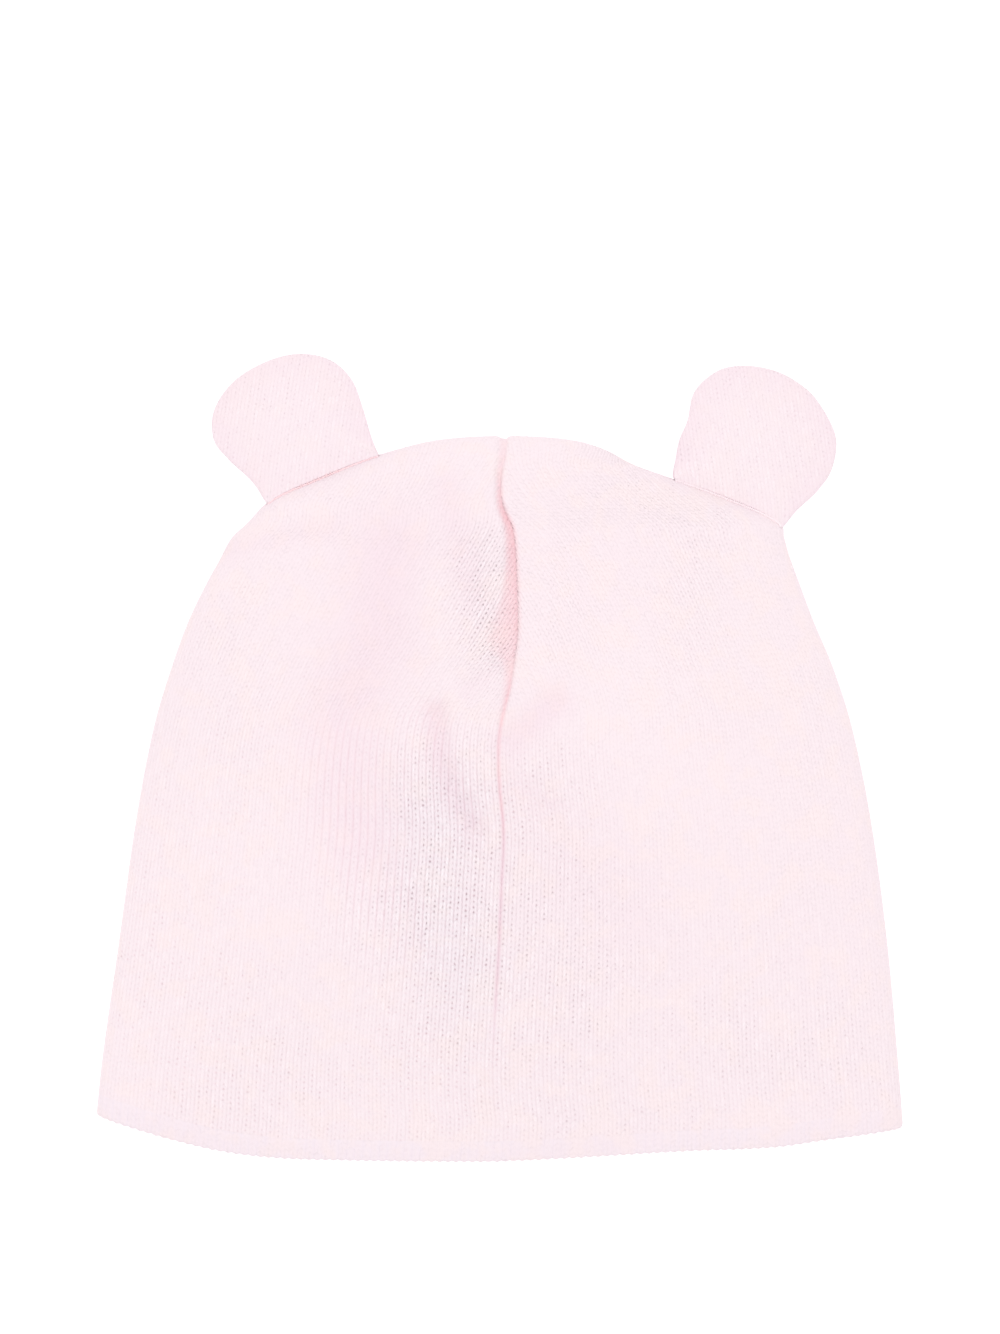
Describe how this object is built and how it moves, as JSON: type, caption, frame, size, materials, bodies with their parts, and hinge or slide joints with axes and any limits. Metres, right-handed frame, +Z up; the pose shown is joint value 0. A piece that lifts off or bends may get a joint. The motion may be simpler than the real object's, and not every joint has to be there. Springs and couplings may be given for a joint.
{
  "type": "baby hat with ears",
  "caption": "Baby beanie of fine rib knit with two small round ears sewn into its crown seams, lying flat with its back up; open at the hem for the head.",
  "frame": {"origin": "middle of the hat's plan, on the surface that it lies on", "axes": "+X across the hat, +Y from the hem to the crown, +Z up from the surface"},
  "size_m": [0.1882, 0.19, 0.0293],
  "materials": {
    "hat_knit": "matt fine rib knit, pale pink",
    "ear_knit": "matt fine knit, pale pink"
  },
  "bodies": {
    "root": {"knit_body": "hat_knit", "ear_left": "ear_knit", "ear_right": "ear_knit"}
  },
  "joints": []
}
